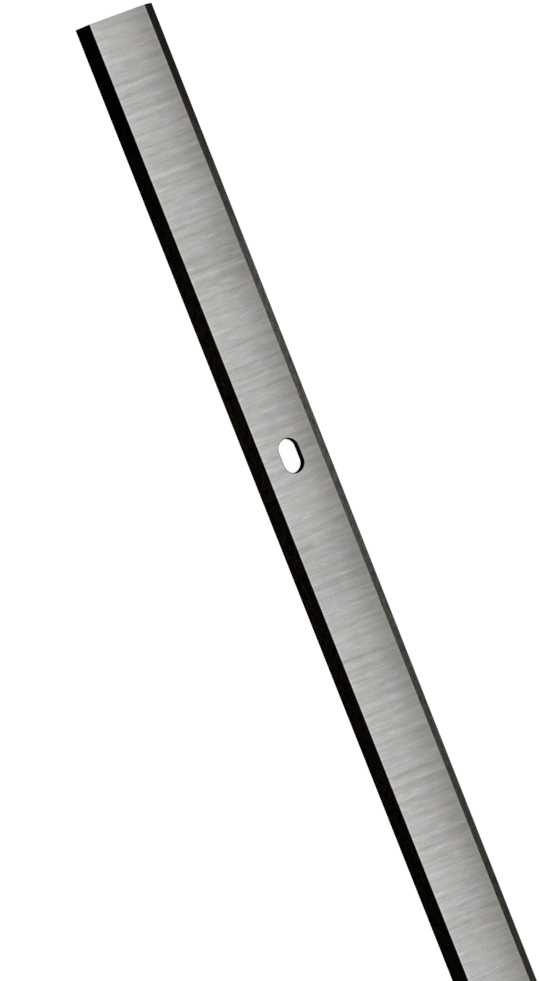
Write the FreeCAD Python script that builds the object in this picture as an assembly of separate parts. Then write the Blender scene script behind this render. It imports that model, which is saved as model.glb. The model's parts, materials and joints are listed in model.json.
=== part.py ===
# Reversible planer knife: one flat bar of tool steel, ground to a cutting edge along both long sides.
#
# The knife lies on its flat back. X runs along it, Y across it and Z up through its thickness, and
# the origin is the middle of the back. Sizes are in millimetres and angles in degrees.

import FreeCAD, Part
import math
import os

# Bar: the width is measured across the back, from cutting edge to cutting edge.
KNIFE_LENGTH = 319.0
KNIFE_WIDTH = 12.0
KNIFE_THICKNESS = 1.5

# Both bevels are ground on the upper side, at this angle to the back.
BEVEL_ANGLE = 42.0

# Oblong slots that sit over the locating pins of the cutter head, one near each end, so that the
# knife fits the same pins when it is turned end for end.
SLOT_LENGTH = 5.0
SLOT_WIDTH = 3.0
SLOT_CENTRE_FROM_END = 66.0

# Sharp burrs round the slots are taken off with a small chamfer on both sides of the knife.
SLOT_EDGE_BREAK = 0.1


def ground_bar():
    """The trapezoid section, drawn at the end of the knife and extruded along X."""
    bevel_run = KNIFE_THICKNESS / math.tan(math.radians(BEVEL_ANGLE))
    cutting_edge = KNIFE_WIDTH / 2
    face_edge = cutting_edge - bevel_run
    start = -KNIFE_LENGTH / 2
    section = Part.makePolygon([
        FreeCAD.Vector(start, -cutting_edge, 0),
        FreeCAD.Vector(start, cutting_edge, 0),
        FreeCAD.Vector(start, face_edge, KNIFE_THICKNESS),
        FreeCAD.Vector(start, -face_edge, KNIFE_THICKNESS),
        FreeCAD.Vector(start, -cutting_edge, 0),
    ])
    return Part.Face(section).extrude(FreeCAD.Vector(KNIFE_LENGTH, 0, 0))


def slot_outline(centre_x):
    """Two straight sides joined by half circles, on the back, with the long axis along X."""
    radius = SLOT_WIDTH / 2
    half_straight = SLOT_LENGTH / 2 - radius
    left = centre_x - half_straight
    right = centre_x + half_straight
    near_left = FreeCAD.Vector(left, -radius, 0)
    near_right = FreeCAD.Vector(right, -radius, 0)
    far_right = FreeCAD.Vector(right, radius, 0)
    far_left = FreeCAD.Vector(left, radius, 0)
    right_tip = FreeCAD.Vector(right + radius, 0, 0)
    left_tip = FreeCAD.Vector(left - radius, 0, 0)
    return Part.Wire([
        Part.LineSegment(near_left, near_right).toShape(),
        Part.Arc(near_right, right_tip, far_right).toShape(),
        Part.LineSegment(far_right, far_left).toShape(),
        Part.Arc(far_left, left_tip, near_left).toShape(),
    ])


def slot_cutter(centre_x):
    """A prism of the slot's outline that fills the knife's whole thickness."""
    return Part.Face(slot_outline(centre_x)).extrude(FreeCAD.Vector(0, 0, KNIFE_THICKNESS))


def slot_rims(knife):
    """The edges where the slots open onto the face and onto the back."""
    rims = []
    for face in knife.Faces:
        for wire in face.Wires:
            if not wire.isSame(face.OuterWire):
                rims.extend(wire.Edges)
    return rims


def planer_knife():
    knife = ground_bar()
    slot_offset = KNIFE_LENGTH / 2 - SLOT_CENTRE_FROM_END
    for side in (-1, 1):
        knife = knife.cut(slot_cutter(side * slot_offset))
    return knife.makeChamfer(SLOT_EDGE_BREAK, slot_rims(knife))


os.makedirs("parts", exist_ok=True)
planer_knife().exportStep("parts/planer_knife.step")
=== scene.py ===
import json
import math
from collections import namedtuple

import bmesh
import bpy
from mathutils import Matrix, Vector


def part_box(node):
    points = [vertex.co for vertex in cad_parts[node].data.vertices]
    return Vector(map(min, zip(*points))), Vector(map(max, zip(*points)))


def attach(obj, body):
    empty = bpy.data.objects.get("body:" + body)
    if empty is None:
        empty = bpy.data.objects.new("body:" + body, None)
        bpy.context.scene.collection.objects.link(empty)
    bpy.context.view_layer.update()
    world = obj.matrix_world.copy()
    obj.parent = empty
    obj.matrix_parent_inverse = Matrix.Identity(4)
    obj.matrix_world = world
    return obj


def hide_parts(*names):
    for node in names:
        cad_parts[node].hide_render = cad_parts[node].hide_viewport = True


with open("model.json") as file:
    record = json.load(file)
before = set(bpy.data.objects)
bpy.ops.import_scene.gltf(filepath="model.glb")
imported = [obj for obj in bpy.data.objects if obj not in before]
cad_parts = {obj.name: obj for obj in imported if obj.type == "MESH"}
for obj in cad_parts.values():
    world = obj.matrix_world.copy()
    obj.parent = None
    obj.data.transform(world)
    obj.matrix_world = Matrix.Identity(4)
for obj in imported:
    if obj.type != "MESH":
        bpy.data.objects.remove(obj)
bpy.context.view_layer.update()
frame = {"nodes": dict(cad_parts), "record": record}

MM = 0.001
NODE = "planer_knife"
BODY = "root"
SLOT_MOUNT = "locating_slots"
SAME_HEIGHT = 0.01 * MM

# Camera: the photograph's view of the shown end, fitted to the knife's edges, corners and slot.
CAMERA_AT = Vector((-127.1, -152.0, 414.9)) * MM
CAMERA_AIM = Vector((-90.04, -4.33, 0.0)) * MM
PICTURE_UP = Vector((-0.9264, 0.3733, 0.0501))
SENSOR_LONG_SIDE = 36.0
LENS = 115.4

# Fine shapes of the dressed knife: the strip along each edge of the face that carries a painted
# highlight, how far it rolls over the corner, and the broken edge round the slots.
LINE_WIDTH = 0.40 * MM
LINE_ROLL = 0.005 * MM
SLOT_EDGE_BREAK = 0.1 * MM

# Mesh: the steps along the knife, the flat kept round each slot, the steps of each half circle of
# a slot, and the least angle that stays a sharp edge.
STATION_STEP = 10 * MM
SLOT_BLOCK_MARGIN = 2.0 * MM
ARC_STEPS = 24
SHARP_ANGLE = math.radians(30)


def knife_sizes():
    """The knife's dimensions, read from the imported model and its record."""
    low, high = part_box(NODE)
    top = [v.co for v in frame["nodes"][NODE].data.vertices if v.co.z > high.z - SAME_HEIGHT]
    dims = next(m for m in frame["record"]["mounts"] if m["name"] == SLOT_MOUNT)["dims"]
    sizes = {
        "half_length": (high.x - low.x) / 2,
        "half_width": (high.y - low.y) / 2,
        "thickness": high.z - low.z,
        "face_edge": max(co.y for co in top),
        "slot_at": dims["spacing_x_mm"] / 2 * MM,
        "slot_radius": dims["hole_r_mm"] * MM,
        "slot_half_length": dims["slot_length_mm"] / 2 * MM,
    }
    sizes["bevel"] = math.hypot(sizes["half_width"] - sizes["face_edge"], sizes["thickness"])
    return sizes


SIZE = knife_sizes()
HALF_LENGTH_MM = SIZE["half_length"] / MM
HALF_WIDTH_MM = SIZE["half_width"] / MM
FACE_EDGE_MM = SIZE["face_edge"] / MM

# Texture page: the long sides are folded into strips, stacked with small gaps. The girth is the
# way over the top of the section, from one cutting edge to the other.
STRIPS = 4
STRIP_LENGTH = 2 * SIZE["half_length"] / STRIPS
PAGE_GAP = 0.5 * MM
PAGE_MARGIN = 0.002
TOP_GIRTH = 2 * (SIZE["bevel"] + SIZE["face_edge"])


# Mesh of the knife

FACE, EDGE_LINE, BEVEL, BACK, END, SLOT_WALL, SLOT_RIM = range(7)
PROFILE_PARTS = (BEVEL, EDGE_LINE, FACE, EDGE_LINE, BEVEL)


def top_profile():
    """Points over the top of the section, from the -Y cutting edge to the +Y one."""
    edge = SIZE["half_width"]
    face = SIZE["face_edge"]
    top = SIZE["thickness"]
    roll = Vector((edge - face, -top)).normalized() * LINE_ROLL
    right = [(face - LINE_WIDTH, top), (face + roll.x, top + roll.y), (edge, 0.0)]
    return [(-y, z) for y, z in reversed(right)] + right


def stations():
    """Places along X where the section is drawn, and the spans that hold a slot."""
    half_block = SIZE["slot_half_length"] + SLOT_BLOCK_MARGIN
    slots = (-SIZE["slot_at"], SIZE["slot_at"])
    blocks = [(centre_x - half_block, centre_x + half_block) for centre_x in slots]
    bounds = {-SIZE["half_length"] + STRIP_LENGTH * i for i in range(STRIPS + 1)}
    bounds |= {x for block in blocks for x in block}
    bounds = sorted(bounds)
    places = []
    for start, end in zip(bounds, bounds[1:]):
        steps = 1 if (start, end) in blocks else max(1, round((end - start) / STATION_STEP))
        places += [start + (end - start) * i / steps for i in range(steps)]
    return places + [bounds[-1]], blocks


def slot_loop(mesh, centre_x, grow, z):
    """One ring of points round a slot, grown outwards by the given amount, at height z."""
    radius = SIZE["slot_radius"] + grow
    straight = SIZE["slot_half_length"] - SIZE["slot_radius"]
    ring = []
    for side in (1, -1):
        for i in range(ARC_STEPS + 1):
            angle = math.pi * (i / ARC_STEPS - 0.5)
            x = centre_x + side * (straight + radius * math.cos(angle))
            y = side * radius * math.sin(angle)
            ring.append(mesh.verts.new((x, y, z)))
    return ring


def ring_edges(mesh, ring):
    return [mesh.edges.new((a, b)) for a, b in zip(ring, ring[1:] + ring[:1])]


def fill_round_slot(mesh, corners, rim_edges, part):
    """The flat piece of face or back between four corners and a slot."""
    border = []
    for a, b in zip(corners, corners[1:] + corners[:1]):
        border.append(mesh.edges.get((a, b)) or mesh.edges.new((a, b)))
    edges = border + rim_edges
    made = bmesh.ops.triangle_fill(mesh, use_beauty=True, use_dissolve=False, edges=edges)
    for item in made["geom"]:
        if isinstance(item, bmesh.types.BMFace):
            item.material_index = part


def wall_between(mesh, upper, lower, part):
    for i in range(len(upper)):
        j = (i + 1) % len(upper)
        quad = mesh.faces.new((upper[i], upper[j], lower[j], lower[i]))
        quad.material_index = part
        quad.smooth = True


def cut_slot(mesh, centre_x, face_corners, back_corners):
    """The slot's rims and walls, and the flats round it on both sides."""
    top = SIZE["thickness"]
    levels = [
        (SLOT_EDGE_BREAK, top),
        (0.0, top - SLOT_EDGE_BREAK),
        (0.0, SLOT_EDGE_BREAK),
        (SLOT_EDGE_BREAK, 0.0),
    ]
    rings = [slot_loop(mesh, centre_x, grow, z) for grow, z in levels]
    fill_round_slot(mesh, face_corners, ring_edges(mesh, rings[0]), FACE)
    fill_round_slot(mesh, back_corners, ring_edges(mesh, rings[-1]), BACK)
    for upper, lower, part in zip(rings, rings[1:], (SLOT_RIM, SLOT_WALL, SLOT_RIM)):
        wall_between(mesh, upper, lower, part)


def knife_mesh():
    """The knife's section drawn from station to station, with the slots cut and the ends closed."""
    mesh = bmesh.new()
    places, blocks = stations()
    profile = top_profile()
    rows = [[mesh.verts.new((x, y, z)) for y, z in profile] for x in places]
    left = PROFILE_PARTS.index(FACE)
    for x, next_x, here, there in zip(places, places[1:], rows, rows[1:]):
        has_slot = (x, next_x) in blocks
        for i, part in enumerate(PROFILE_PARTS):
            if part == FACE and has_slot:
                continue
            quad = mesh.faces.new((here[i], there[i], there[i + 1], here[i + 1]))
            quad.material_index = part
        if has_slot:
            face_corners = [here[left], there[left], there[left + 1], here[left + 1]]
            back_corners = [here[0], there[0], there[-1], here[-1]]
            cut_slot(mesh, (x + next_x) / 2, face_corners, back_corners)
        else:
            mesh.faces.new((here[0], here[-1], there[-1], there[0])).material_index = BACK
    for row in (rows[0], rows[-1]):
        mesh.faces.new(row).material_index = END
    bmesh.ops.recalc_face_normals(mesh, faces=mesh.faces)
    return mesh


# Texture page of the knife, in metres until it is scaled to the page

def fold(x, centre_x, across, height, first_row):
    """A point of a long side, folded into its strip of the page."""
    row = min(STRIPS - 1, int((centre_x + SIZE["half_length"]) / STRIP_LENGTH))
    along = x + SIZE["half_length"] - row * STRIP_LENGTH
    return along, first_row + row * (height + PAGE_GAP) + across


def over_the_top(y, z, part):
    """Distance over the top of the section from the -Y cutting edge."""
    if part != BEVEL:
        return TOP_GIRTH / 2 + y
    slant = math.hypot(SIZE["half_width"] - abs(y), z)
    return slant if y < 0 else TOP_GIRTH - slant


def round_slot(x, y, centre):
    """Distance round a slot, measured without a jump across the face that it is asked for."""
    slot_x = math.copysign(SIZE["slot_at"], centre.x)
    squeeze = SIZE["slot_radius"] / SIZE["slot_half_length"]
    angle = math.atan2(y, (x - slot_x) * squeeze)
    middle = math.atan2(centre.y, (centre.x - slot_x) * squeeze)
    if angle - middle > math.pi:
        angle -= math.tau
    if middle - angle > math.pi:
        angle += math.tau
    return (angle + math.pi) * (SIZE["slot_radius"] + SIZE["slot_half_length"]) / 2


def page_point(co, face, spare_x):
    """Where a corner of a mesh face lies on the page."""
    part = face.material_index
    centre = face.calc_center_median()
    back_row = STRIPS * (TOP_GIRTH + PAGE_GAP)
    thick = SIZE["thickness"] + 2 * PAGE_GAP
    side = 0 if centre.x < 0 else 1
    if part in (FACE, EDGE_LINE, BEVEL):
        return fold(co.x, centre.x, over_the_top(co.y, co.z, part), TOP_GIRTH, 0.0)
    if part == BACK:
        across = co.y + SIZE["half_width"]
        return fold(co.x, centre.x, across, 2 * SIZE["half_width"], back_row)
    if part == END:
        return spare_x + co.y + SIZE["half_width"], side * thick + co.z
    return spare_x + round_slot(co.x, co.y, centre), (2 + side) * thick + co.z


def lay_out_page(mesh):
    """The knife's own texture map: long strips at one scale, then the ends and the slots."""
    layer = mesh.loops.layers.uv.new("OFBake")
    spare_x = STRIP_LENGTH + PAGE_GAP
    tall = STRIPS * (TOP_GIRTH + 2 * SIZE["half_width"] + 2 * PAGE_GAP)
    scale = (1 - 2 * PAGE_MARGIN) / tall
    for face in mesh.faces:
        for loop in face.loops:
            across, up = page_point(loop.vert.co, face, spare_x)
            loop[layer].uv = (PAGE_MARGIN + across * scale, PAGE_MARGIN + up * scale)


# Node helpers

# A layer of noise: how often it changes in 1 mm along X and along Y, its seed, the levels of finer
# detail in it, and its weight.
Layer = namedtuple("Layer", "along across seed detail weight")

# The Mix node's sockets for colours
MIX_SHARE, MIX_FIRST, MIX_SECOND = 0, 6, 7
MIX_RESULT = 2


def put(tree, socket, value):
    if isinstance(value, bpy.types.NodeSocket):
        tree.links.new(value, socket)
    else:
        socket.default_value = value


def calc(tree, operation, *values):
    node = tree.nodes.new("ShaderNodeMath")
    node.operation = operation
    for socket, value in zip(node.inputs, values):
        put(tree, socket, value)
    return node.outputs[0]


def vector_calc(tree, operation, a, b):
    node = tree.nodes.new("ShaderNodeVectorMath")
    node.operation = operation
    put(tree, node.inputs[0], a)
    put(tree, node.inputs["Scale"] if operation == "SCALE" else node.inputs[1], b)
    return node.outputs[0]


def add_up(tree, base, parts):
    """The base plus each value times its weight."""
    total = base
    for value, weight in parts:
        total = calc(tree, "MULTIPLY_ADD", value, weight, total)
    return total


def above_zero(tree, value):
    return calc(tree, "MAXIMUM", value, 0.0)


def knife_axes(tree):
    """X and Y on the knife, in millimetres."""
    place = tree.nodes.new("ShaderNodeTexCoord").outputs["Object"]
    split = tree.nodes.new("ShaderNodeSeparateXYZ")
    put(tree, split.inputs[0], vector_calc(tree, "SCALE", place, 1 / MM))
    return split.outputs["X"], split.outputs["Y"]


def from_end(tree, x):
    """Distance from the nearer end, from 0 there to 1 at mid-length."""
    share = calc(tree, "DIVIDE", calc(tree, "ABSOLUTE", x), HALF_LENGTH_MM)
    return calc(tree, "SUBTRACT", 1.0, share)


def towards_plus_y(tree, y):
    """1 on the half of the knife towards +Y, and 0 on the other."""
    return calc(tree, "GREATER_THAN", y, 0.0)


def noise(tree, x, y, layer):
    """One layer's noise without its weight, from about -1 to 1."""
    point = tree.nodes.new("ShaderNodeCombineXYZ")
    put(tree, point.inputs["X"], calc(tree, "MULTIPLY", x, layer.along))
    put(tree, point.inputs["Y"], calc(tree, "MULTIPLY", y, layer.across))
    put(tree, point.inputs["Z"], layer.seed)
    texture = tree.nodes.new("ShaderNodeTexNoise")
    texture.inputs["Scale"].default_value = 1.0
    texture.inputs["Detail"].default_value = layer.detail
    put(tree, texture.inputs["Vector"], point.outputs[0])
    return calc(tree, "MULTIPLY_ADD", texture.outputs["Fac"], 2.0, -1.0)


def add_layers(tree, base, x, y, layers):
    """The base plus each layer's noise times its weight."""
    return add_up(tree, base, [(noise(tree, x, y, layer), layer.weight) for layer in layers])


def ramp(tree, value, stops):
    """A colour ramp from (position, colour) pairs, positions from 0 to 1."""
    node = tree.nodes.new("ShaderNodeValToRGB")
    elements = node.color_ramp.elements
    while len(elements) < len(stops):
        elements.new(0.5)
    for element, (position, tone) in zip(elements, stops):
        element.position = position
        element.color = (*tone, 1.0)
    put(tree, node.inputs["Fac"], value)
    return node.outputs["Color"]


def mix_colours(tree, share, first, second):
    """The first colour where the share is 0, and the second where it is 1."""
    node = tree.nodes.new("ShaderNodeMix")
    node.data_type = "RGBA"
    put(tree, node.inputs[MIX_SHARE], share)
    put(tree, node.inputs[MIX_FIRST], first)
    put(tree, node.inputs[MIX_SECOND], second)
    return node.outputs[MIX_RESULT]


def new_material(name, metallic, roughness):
    material = bpy.data.materials.new(name)
    material.use_nodes = True
    tree = material.node_tree
    shader = tree.nodes["Principled BSDF"]
    shader.inputs["Metallic"].default_value = metallic
    shader.inputs["Roughness"].default_value = roughness
    return material, tree, shader


def paint(tree, shader, tone, marks):
    """The tone, lighter or darker by the share that the marks give."""
    shade = calc(tree, "ADD", marks, 1.0)
    put(tree, shader.inputs["Base Color"], vector_calc(tree, "SCALE", tone, shade))


def roughen(tree, shader, marks, roughness, change):
    """The finish: a roughness that changes with the marks."""
    put(tree, shader.inputs["Roughness"], add_up(tree, roughness, [(marks, change)]))


# Ground steel of the face, its edges and the back

# Painted light and shade across the face: its tones at the lit -Y edge, on its centre line and at
# the shaded +Y edge; and the back's tone.
FACE_LIGHT = (0.477, 0.476, 0.464)
FACE_MIDDLE = (0.402, 0.400, 0.388)
FACE_SHADED = (0.253, 0.247, 0.230)
BACK_TONE = 0.39
WARM_PATCHES = Layer(0.30, 0.35, 53.0, 1.0, 0.085)
BLUE_PATCHES = Layer(0.30, 0.35, 59.0, 1.0, 0.105)

# Grinding marks: their lean at mid-length in mm of X for 1 mm of Y, the waves that the wheel's
# chatter left and their pitch in mm, then layers from broad shades to the finest lines, bright
# scratches where their noise is above a start, and how much quieter all of it is at the ends.
MARKS_LEAN = -0.07
CHATTER_PITCH = 1.95
CHATTER_WANDER = Layer(0.07, 0.03, 3.0, 1.0, 10.0)
CHATTER_LEVEL = 0.0351
CHATTER_SWELL = Layer(0.11, 0.04, 7.0, 0.0, 0.0468)
BROAD_SHADES = Layer(0.085, 0.04, 13.0, 0.0, 0.14)
CLOUDS = Layer(0.45, 0.35, 17.0, 1.0, 0.06)
GROUND_LINES = (
    Layer(1.0, 0.02, 23.0, 0.0, 0.145),
    Layer(1.9, 0.03, 29.0, 0.0, 0.14),
    Layer(2.1, 0.50, 31.0, 0.0, 0.10),
    Layer(4.6, 3.0, 37.0, 1.0, 0.17),
    Layer(9.5, 0.12, 43.0, 0.0, 0.12),
)
SCRATCHES = Layer(2.3, 0.40, 41.0, 0.0, 0.45)
SCRATCH_START = 0.28
END_QUIET = 0.75
END_QUIET_RISE = 4.0

GROUND_ROUGHNESS = 0.33
GROUND_ROUGHNESS_CHANGE = -0.3
GROOVE_DEPTH = 0.02 * MM

# Painted highlight line along each edge of the face, in mm: how far inside the edge it peaks, and
# how wide the fringe is in which the -Y edge is painted dark as a dark reflection. Its painted
# glint changes with each mm towards +Y, in patches, and near the ends.
LINE_PEAK = 0.17
LINE_FRINGE = 0.075
LINE_GLINT = 0.135
LINE_GLINT_PER_MM = -0.0100
LINE_PATCHES = Layer(0.25, 0.0, 61.0, 2.0, 0.16)
LINE_END_REACH = 12.0
LINE_END_GLINT = 0.22
LINE_ROUGHNESS = 0.25


def chatter(tree, x, y, leaned):
    """Waves along the knife from the grinding wheel's chatter, stronger in some places."""
    phase = calc(tree, "MULTIPLY", leaned, math.tau / CHATTER_PITCH)
    waves = calc(tree, "SINE", add_layers(tree, phase, x, y, [CHATTER_WANDER]))
    return calc(tree, "MULTIPLY", waves, add_layers(tree, CHATTER_LEVEL, x, y, [CHATTER_SWELL]))


def grinding_marks(tree, x, y):
    """Grinding marks that run across the knife, as a share of the tone, about -0.2 to 0.2."""
    share = calc(tree, "DIVIDE", x, HALF_LENGTH_MM)
    middle = calc(tree, "SUBTRACT", 1.0, calc(tree, "MULTIPLY", share, share))
    lean = calc(tree, "MULTIPLY", calc(tree, "MULTIPLY", middle, middle), MARKS_LEAN)
    leaned = calc(tree, "MULTIPLY_ADD", y, lean, x)
    marks = add_layers(tree, chatter(tree, x, y, leaned), leaned, y, [BROAD_SHADES])
    marks = add_layers(tree, marks, x, y, [CLOUDS])
    marks = add_layers(tree, marks, leaned, y, GROUND_LINES)
    scratch = calc(tree, "SUBTRACT", noise(tree, leaned, y, SCRATCHES), SCRATCH_START)
    marks = add_up(tree, marks, [(above_zero(tree, scratch), SCRATCHES.weight)])
    quieter = add_up(tree, END_QUIET, [(from_end(tree, x), END_QUIET_RISE)])
    return calc(tree, "MULTIPLY", marks, calc(tree, "MINIMUM", quieter, 1.0))


def tint(tree, x, y):
    """Faint warm, green and blue patches, as a factor for each colour channel."""
    factor = tree.nodes.new("ShaderNodeCombineXYZ")
    put(tree, factor.inputs["X"], add_layers(tree, 1.0, x, y, [WARM_PATCHES]))
    put(tree, factor.inputs["Y"], 1.0)
    put(tree, factor.inputs["Z"], add_layers(tree, 1.0, x, y, [BLUE_PATCHES]))
    return factor.outputs[0]


def steel_tone(tree, x, y, shade):
    """Colour of the ground face: the tones across it, which are painted light and shade, with the
    tint, times the shade.
    """
    place = calc(tree, "DIVIDE", calc(tree, "ADD", y, FACE_EDGE_MM), 2 * FACE_EDGE_MM)
    tone = ramp(tree, place, [(0.0, FACE_LIGHT), (0.5, FACE_MIDDLE), (1.0, FACE_SHADED)])
    tone = vector_calc(tree, "MULTIPLY", tone, tint(tree, x, y))
    return vector_calc(tree, "SCALE", tone, shade)


def ground_relief(tree, shader, marks):
    """The marks as fine grooves, and as a finish that is a little rougher in the dark ones."""
    roughen(tree, shader, marks, GROUND_ROUGHNESS, GROUND_ROUGHNESS_CHANGE)
    bump = tree.nodes.new("ShaderNodeBump")
    bump.inputs["Strength"].default_value = 1.0
    bump.inputs["Distance"].default_value = GROOVE_DEPTH
    put(tree, bump.inputs["Height"], marks)
    put(tree, shader.inputs["Normal"], bump.outputs[0])


def ground_face():
    """The face between the bevels, with painted light and shade: lighter towards -Y."""
    material, tree, shader = new_material("ground_face", 1.0, GROUND_ROUGHNESS)
    x, y = knife_axes(tree)
    marks = grinding_marks(tree, x, y)
    shade = calc(tree, "ADD", marks, 1.0)
    put(tree, shader.inputs["Base Color"], steel_tone(tree, x, y, shade))
    ground_relief(tree, shader, marks)
    return material


def line_lift(tree, x, y):
    """How bright the painted highlight line is against the face, where 1 is as bright, with a
    painted dark fringe at the -Y edge.
    """
    plus_y = towards_plus_y(tree, y)
    inside = calc(tree, "SUBTRACT", FACE_EDGE_MM, calc(tree, "ABSOLUTE", y))
    off_peak = calc(tree, "ABSOLUTE", calc(tree, "SUBTRACT", inside, LINE_PEAK))
    peak = above_zero(tree, add_up(tree, 1.0, [(off_peak, -1.0 / LINE_PEAK)]))
    near_end = add_up(tree, 1.0, [(from_end(tree, x), -HALF_LENGTH_MM / LINE_END_REACH)])
    near_end = calc(tree, "MULTIPLY", above_zero(tree, near_end), plus_y)
    glint = add_up(tree, LINE_GLINT, [(y, LINE_GLINT_PER_MM), (near_end, LINE_END_GLINT)])
    glint = add_layers(tree, glint, x, y, [LINE_PATCHES])
    fringe = calc(tree, "MINIMUM", calc(tree, "DIVIDE", inside, LINE_FRINGE), 1.0)
    fringe = calc(tree, "MAXIMUM", fringe, plus_y)
    return calc(tree, "MULTIPLY", calc(tree, "MULTIPLY_ADD", glint, peak, 1.0), fringe)


def painted_highlight_line():
    """Painted highlight: the thin bright line along each edge of the face, broken and stronger on
    the lighter side.
    """
    material, tree, shader = new_material("painted_highlight_line", 1.0, LINE_ROUGHNESS)
    x, y = knife_axes(tree)
    shade = calc(tree, "ADD", grinding_marks(tree, x, y), line_lift(tree, x, y))
    put(tree, shader.inputs["Base Color"], steel_tone(tree, x, y, shade))
    return material


def ground_back():
    """The back: ground like the face, with other marks and one tone."""
    material, tree, shader = new_material("ground_back", 1.0, GROUND_ROUGHNESS)
    x, y = knife_axes(tree)
    turned_x = calc(tree, "MULTIPLY", x, -1.0)
    turned_y = calc(tree, "MULTIPLY", y, -1.0)
    marks = grinding_marks(tree, turned_x, turned_y)
    paint(tree, shader, vector_calc(tree, "SCALE", tint(tree, x, turned_y), BACK_TONE), marks)
    ground_relief(tree, shader, marks)
    return material


# Bevels painted dark as reflection and shade, ends and slots

# Painted reflection and shade on the bevels: their tones at these shares of the way from an end to
# mid-length, dark near the end, then their lightest, and darker again at mid-length. The lit bevel
# is the one towards +Y; the shaded one is nearly black.
BEVEL_PLACES = (0.0, 0.07, 0.27, 0.42, 1.0)
LIT_DARK = (0.0032, 0.0030, 0.0025)
LIT_LIGHT = (0.0615, 0.0590, 0.0535)
LIT_MIDDLE = (0.009, 0.0085, 0.0065)
SHADED_DARK = (0.0006, 0.0006, 0.0006)
SHADED_LIGHT = (0.0034, 0.0026, 0.0013)
SHADED_MIDDLE = (0.0018, 0.0014, 0.0008)
BEVEL_EDGE_TINT = (0.60, 0.595, 0.57, 1.0)
BEVEL_ROUGHNESS = 0.25
BEVEL_ROUGHNESS_CHANGE = -0.2

# Marks on the bevels: their lean in mm of X for 1 mm of Y, how strong they are on each bevel, and
# what they add to the tone of the lit one.
BEVEL_LEAN = 0.5
BEVEL_MARKS = (
    Layer(0.8, 2.4, 71.0, 1.0, 0.95),
    Layer(2.8, 3.4, 73.0, 1.0, 0.85),
)
LIT_MARKS = 1.1
SHADED_MARKS = 2.0
SPECKLE = (0.003, 0.003, 0.002)

# Painted highlight at both borders of the lit bevel: its width in mm and its tone, then how it
# grows from an end to mid-length, breaks into patches and fades at the end, but never to nothing.
BORDER_HIGHLIGHT_WIDTH = 0.15
BORDER_HIGHLIGHT_TONE = 0.21
BORDER_HIGHLIGHT_LEVEL = 0.9
BORDER_HIGHLIGHT_GROWTH = 1.2
BORDER_HIGHLIGHT_PATCHES = Layer(0.6, 0.0, 67.0, 2.0, 0.9)
BORDER_HIGHLIGHT_FADE = 5.0
BORDER_HIGHLIGHT_LEAST = 0.05

END_TONE = (0.17, 0.165, 0.155)
END_GRAIN = (
    Layer(1.3, 0.0, 79.0, 3.0, 0.25),
    Layer(6.0, 0.0, 83.0, 2.0, 0.20),
)
END_ROUGHNESS = 0.45
END_ROUGHNESS_CHANGE = -0.2

# Slot wall: painted black as shade inside the slot.
WALL_TONE = (0.0014, 0.0013, 0.0012)
WALL_DRAW = Layer(3.0, 0.0, 89.0, 2.0, 0.5)
WALL_ROUGHNESS = 0.8

# Slot rim: painted dark as a dark reflection, like the bevels.
RIM_TONE = (0.006, 0.0055, 0.005)
RIM_WEAR = Layer(1.2, 1.2, 97.0, 2.0, 0.6)
RIM_ROUGHNESS = 0.3


def bevel_tone(tree, end_share, lit):
    """Painted reflection and shade along the bevel of either side."""
    lit_tones = (LIT_DARK, LIT_DARK, LIT_LIGHT, LIT_LIGHT, LIT_MIDDLE)
    shaded_tones = (SHADED_DARK, SHADED_DARK, SHADED_LIGHT, SHADED_LIGHT, SHADED_MIDDLE)
    on_lit = ramp(tree, end_share, list(zip(BEVEL_PLACES, lit_tones)))
    on_shaded = ramp(tree, end_share, list(zip(BEVEL_PLACES, shaded_tones)))
    return mix_colours(tree, lit, on_shaded, on_lit)


def painted_border_highlights(tree, x, y, end_share, lit):
    """What the painted highlight at both borders of the lit bevel adds to its tone."""
    middle = (HALF_WIDTH_MM + FACE_EDGE_MM) / 2
    half = (HALF_WIDTH_MM - FACE_EDGE_MM) / 2
    inside = calc(tree, "SUBTRACT", half, calc(tree, "ABSOLUTE", calc(tree, "SUBTRACT", y, middle)))
    line = above_zero(tree, add_up(tree, BORDER_HIGHLIGHT_TONE, [(inside, -BORDER_HIGHLIGHT_TONE / BORDER_HIGHLIGHT_WIDTH)]))
    line = calc(tree, "MULTIPLY", line, lit)
    level = add_up(tree, BORDER_HIGHLIGHT_LEVEL, [(end_share, BORDER_HIGHLIGHT_GROWTH)])
    level = add_layers(tree, level, x, y, [BORDER_HIGHLIGHT_PATCHES])
    fade = calc(tree, "MINIMUM", calc(tree, "MULTIPLY", end_share, BORDER_HIGHLIGHT_FADE), 1.0)
    level = calc(tree, "MAXIMUM", calc(tree, "MULTIPLY", level, fade), BORDER_HIGHLIGHT_LEAST)
    return calc(tree, "MULTIPLY", line, level)


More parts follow.
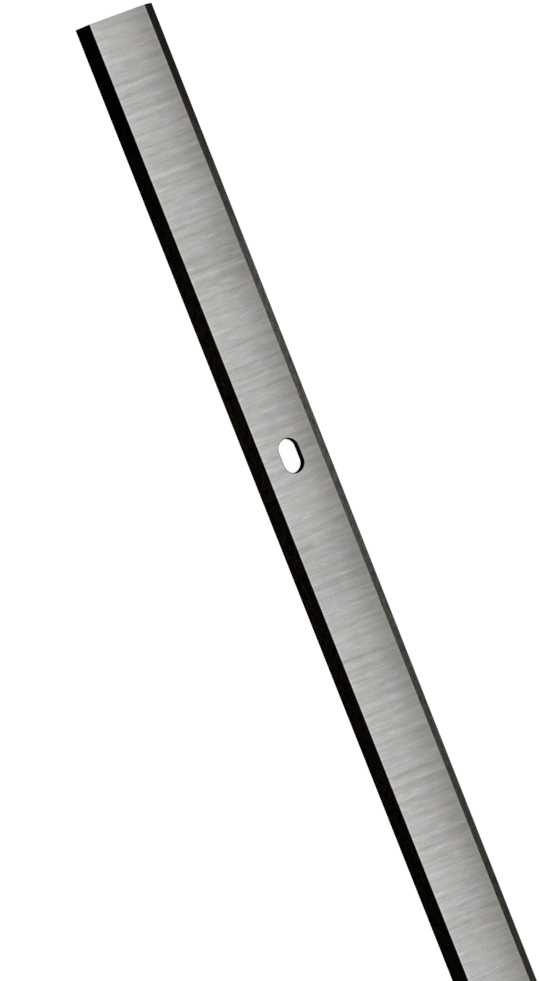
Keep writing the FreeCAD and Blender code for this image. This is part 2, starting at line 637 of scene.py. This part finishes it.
def bevel_painted_dark():
    """Smooth ground bevel, painted dark as reflection and shade: nearly black towards -Y and dark
    grey towards +Y.
    """
    material, tree, shader = new_material("bevel_painted_dark", 1.0, BEVEL_ROUGHNESS)
    shader.inputs["Specular Tint"].default_value = BEVEL_EDGE_TINT
    x, y = knife_axes(tree)
    end_share = from_end(tree, x)
    lit = towards_plus_y(tree, y)
    leaned = calc(tree, "MULTIPLY_ADD", y, BEVEL_LEAN, x)
    marks = add_layers(tree, 0.0, leaned, y, BEVEL_MARKS)
    strength = calc(tree, "MULTIPLY_ADD", lit, LIT_MARKS - SHADED_MARKS, SHADED_MARKS)
    shade = calc(tree, "MULTIPLY_ADD", marks, strength, 1.0)
    tone = vector_calc(tree, "SCALE", bevel_tone(tree, end_share, lit), shade)
    speckle = vector_calc(tree, "SCALE", SPECKLE, calc(tree, "MULTIPLY", marks, lit))
    tone = vector_calc(tree, "MULTIPLY", vector_calc(tree, "ADD", tone, speckle), tint(tree, x, y))
    tone = vector_calc(tree, "MAXIMUM", tone, (0.0, 0.0, 0.0))
    tone = vector_calc(tree, "ADD", tone, painted_border_highlights(tree, x, y, end_share, lit))
    put(tree, shader.inputs["Base Color"], tone)
    roughen(tree, shader, marks, BEVEL_ROUGHNESS, BEVEL_ROUGHNESS_CHANGE)
    return material


def cut_end():
    """The square ends: steel cut off and left a little rough, with marks along Z."""
    material, tree, shader = new_material("cut_end", 1.0, END_ROUGHNESS)
    x, y = knife_axes(tree)
    grain = add_layers(tree, 0.0, y, x, END_GRAIN)
    paint(tree, shader, END_TONE, grain)
    roughen(tree, shader, grain, END_ROUGHNESS, END_ROUGHNESS_CHANGE)
    return material


def slot_wall():
    """Punched wall of a slot, painted black as shade inside the slot, with faint upright draw
    marks.
    """
    material, tree, shader = new_material("slot_wall", 0.0, WALL_ROUGHNESS)
    shader.inputs["Specular IOR Level"].default_value = 0.0
    x, y = knife_axes(tree)
    paint(tree, shader, WALL_TONE, add_layers(tree, 0.0, calc(tree, "ADD", x, y), y, [WALL_DRAW]))
    return material


def slot_rim():
    """Broken edge of a slot, painted dark as a reflection, like the bevels."""
    material, tree, shader = new_material("slot_rim", 1.0, RIM_ROUGHNESS)
    x, y = knife_axes(tree)
    paint(tree, shader, RIM_TONE, add_layers(tree, 0.0, x, y, [RIM_WEAR]))
    return material


def build_knife():
    built = knife_mesh()
    lay_out_page(built)
    mesh = bpy.data.meshes.new("knife")
    built.to_mesh(mesh)
    built.free()
    mesh.set_sharp_from_angle(angle=SHARP_ANGLE)
    materials = {
        FACE: ground_face(),
        EDGE_LINE: painted_highlight_line(),
        BEVEL: bevel_painted_dark(),
        BACK: ground_back(),
        END: cut_end(),
        SLOT_WALL: slot_wall(),
        SLOT_RIM: slot_rim(),
    }
    for part in sorted(materials):
        mesh.materials.append(materials[part])
    knife = bpy.data.objects.new("knife", mesh)
    bpy.context.scene.collection.objects.link(knife)
    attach(knife, BODY)
    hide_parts(NODE)


# Stage: a pale floor just under the knife, a white world and one soft lamp aimed at the origin

WHITE = (1.0, 1.0, 1.0, 1.0)
FLOOR_SIZE = 8.0
FLOOR_DROP = 0.02 * MM
FLOOR_TONE = 0.2
FLOOR_GLOW = 0.91
WORLD_FILL = 0.7
LAMP_AT = Vector((-1.2, 0.5, 1.1))
LAMP_SIZE = 1.2
LAMP_POWER = 2.0


def background_rays(tree):
    """1 for the rays that see the background: from the camera, in a reflection or through glass."""
    rays = tree.nodes.new("ShaderNodeLightPath")
    seen = calc(tree, "MAXIMUM", rays.outputs["Is Camera Ray"], rays.outputs["Is Glossy Ray"])
    return calc(tree, "MAXIMUM", seen, rays.outputs["Is Transmission Ray"])


def build_floor():
    mesh = bmesh.new()
    bmesh.ops.create_grid(mesh, x_segments=1, y_segments=1, size=FLOOR_SIZE / 2)
    data = bpy.data.meshes.new("floor")
    mesh.to_mesh(data)
    mesh.free()
    floor = bpy.data.objects.new("floor", data)
    floor.location.z = -FLOOR_DROP
    bpy.context.scene.collection.objects.link(floor)
    material, tree, shader = new_material("floor", 0.0, 1.0)
    shader.inputs["Base Color"].default_value = (FLOOR_TONE, FLOOR_TONE, FLOOR_TONE, 1.0)
    shader.inputs["Specular IOR Level"].default_value = 0.0
    shader.inputs["Emission Color"].default_value = WHITE
    glow = calc(tree, "MULTIPLY", background_rays(tree), FLOOR_GLOW)
    put(tree, shader.inputs["Emission Strength"], glow)
    data.materials.append(material)


def build_world():
    world = bpy.data.worlds.new("studio")
    bpy.context.scene.world = world
    world.use_nodes = True
    tree = world.node_tree
    background = tree.nodes["Background"]
    background.inputs["Color"].default_value = WHITE
    level = calc(tree, "MULTIPLY_ADD", background_rays(tree), 1.0 - WORLD_FILL, WORLD_FILL)
    put(tree, background.inputs["Strength"], level)


def build_lamp():
    light = bpy.data.lights.new("key", "AREA")
    light.shape = "SQUARE"
    light.size = LAMP_SIZE
    light.energy = LAMP_POWER
    lamp = bpy.data.objects.new("key", light)
    bpy.context.scene.collection.objects.link(lamp)
    lamp.location = LAMP_AT
    lamp.rotation_euler = (-LAMP_AT).to_track_quat("-Z", "Y").to_euler()


def build_camera():
    data = bpy.data.cameras.new("camera")
    data.sensor_width = SENSOR_LONG_SIDE
    data.lens = LENS
    camera = bpy.data.objects.new("camera", data)
    bpy.context.scene.collection.objects.link(camera)
    back = (CAMERA_AT - CAMERA_AIM).normalized()
    right = PICTURE_UP.cross(back).normalized()
    up = back.cross(right)
    turn = Matrix((right, up, back)).transposed().to_4x4()
    camera.matrix_world = Matrix.Translation(CAMERA_AT) @ turn
    bpy.context.scene.camera = camera


build_knife()
build_floor()
build_world()
build_lamp()
build_camera()
bpy.context.scene.view_settings.view_transform = "Standard"
